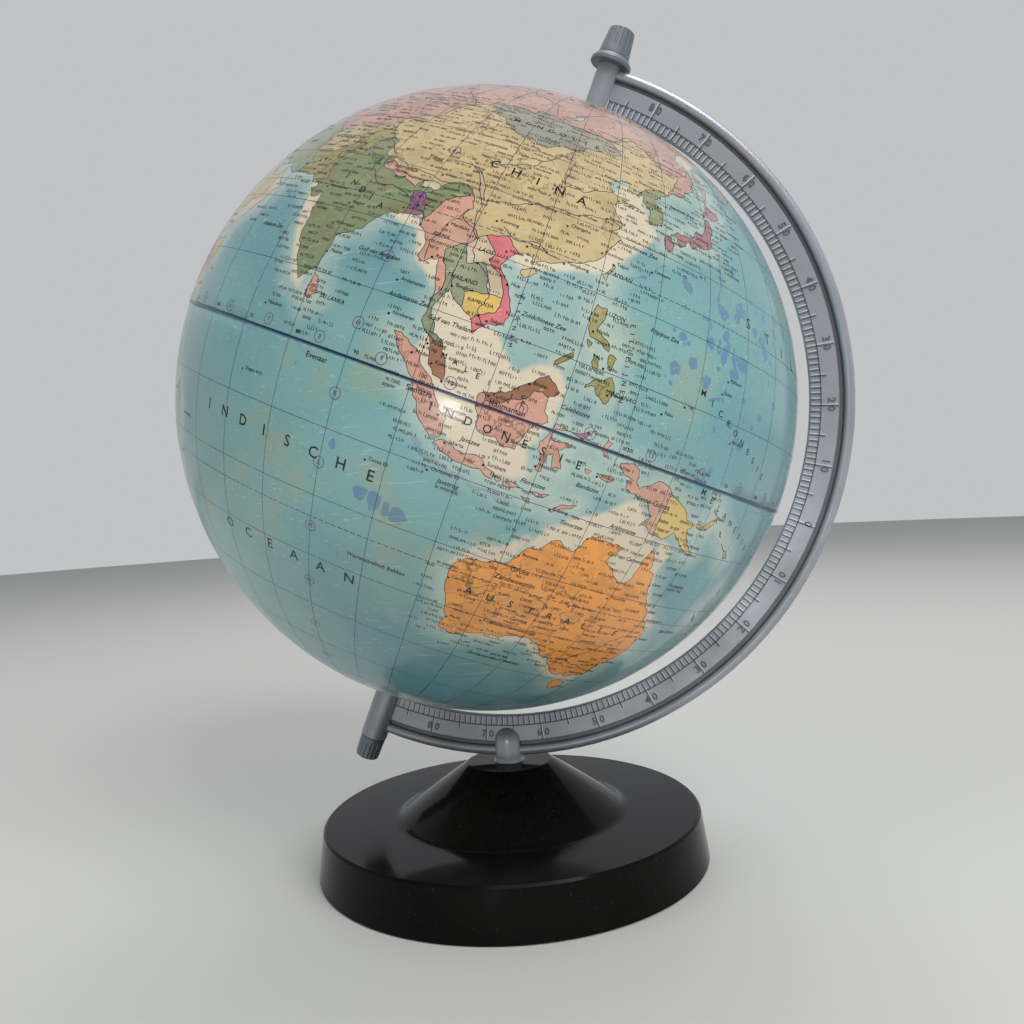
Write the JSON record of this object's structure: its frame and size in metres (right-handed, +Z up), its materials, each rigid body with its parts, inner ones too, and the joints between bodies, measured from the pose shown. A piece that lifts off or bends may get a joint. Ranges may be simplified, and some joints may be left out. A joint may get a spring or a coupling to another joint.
{
  "type": "desktop globe on stand",
  "caption": "Desktop globe turning on a tilted axle in a half-circle meridian arm with a degree scale, on a round weighted base with a cone.",
  "frame": {"origin": "middle of the underside of the felt pad, on the surface that the globe stands on", "axes": "+Z up through the cone and the middle of the globe; +X towards the side that the meridian arm curves round; the arm lies in the XZ plane"},
  "size_m": [0.2831, 0.26, 0.3543],
  "materials": {
    "printed_shell": "printed map under aged gloss varnish",
    "silver_plastic": "satin silver grey moulded plastic",
    "knob_plastic": "satin darker grey moulded plastic",
    "black_plastic": "polished black moulded plastic with fine scratches",
    "steel": "plain turned steel",
    "brass": "turned brass",
    "iron": "rough cast iron",
    "board": "brown pressed board",
    "felt": "dark green felt",
    "bearing_plastic": "natural white bearing plastic"
  },
  "bodies": {
    "stand": {"base_shell": "black_plastic", "base_cover": "board", "felt_pad": "felt", "cover_screws": "steel", "ballast_ring": "iron", "foot_screw": "steel", "foot_washer": "steel", "foot_lock_washer": "steel", "foot_insert": "brass", "meridian_arm": "silver_plastic", "axle_rod": "steel", "south_cap": "knob_plastic", "south_cap_insert": "brass", "south_cap_washer": "steel", "north_collar": "knob_plastic", "north_spring_washer": "steel", "north_thrust_washer": "bearing_plastic", "south_thrust_washer": "bearing_plastic"},
    "globe": {"north_hemisphere": "printed_shell", "south_hemisphere": "printed_shell", "joining_ring": "board", "north_pole_bush": "bearing_plastic", "south_pole_bush": "bearing_plastic", "core_tube": "board"},
    "knob": {"north_knob": "knob_plastic", "north_knob_insert": "brass"}
  },
  "joints": [
    {"name": "globe_spin", "type": "hinge", "parent": "stand", "child": "globe", "pos_m": [0, 0, 0.1973], "axis": [0.3987, 0, 0.9171], "continuous": true},
    {"name": "knob_turn", "type": "hinge", "parent": "stand", "child": "knob", "pos_m": [0, 0, 0.1973], "axis": [0.3987, 0, 0.9171], "range_deg": [-270, 90]}
  ]
}
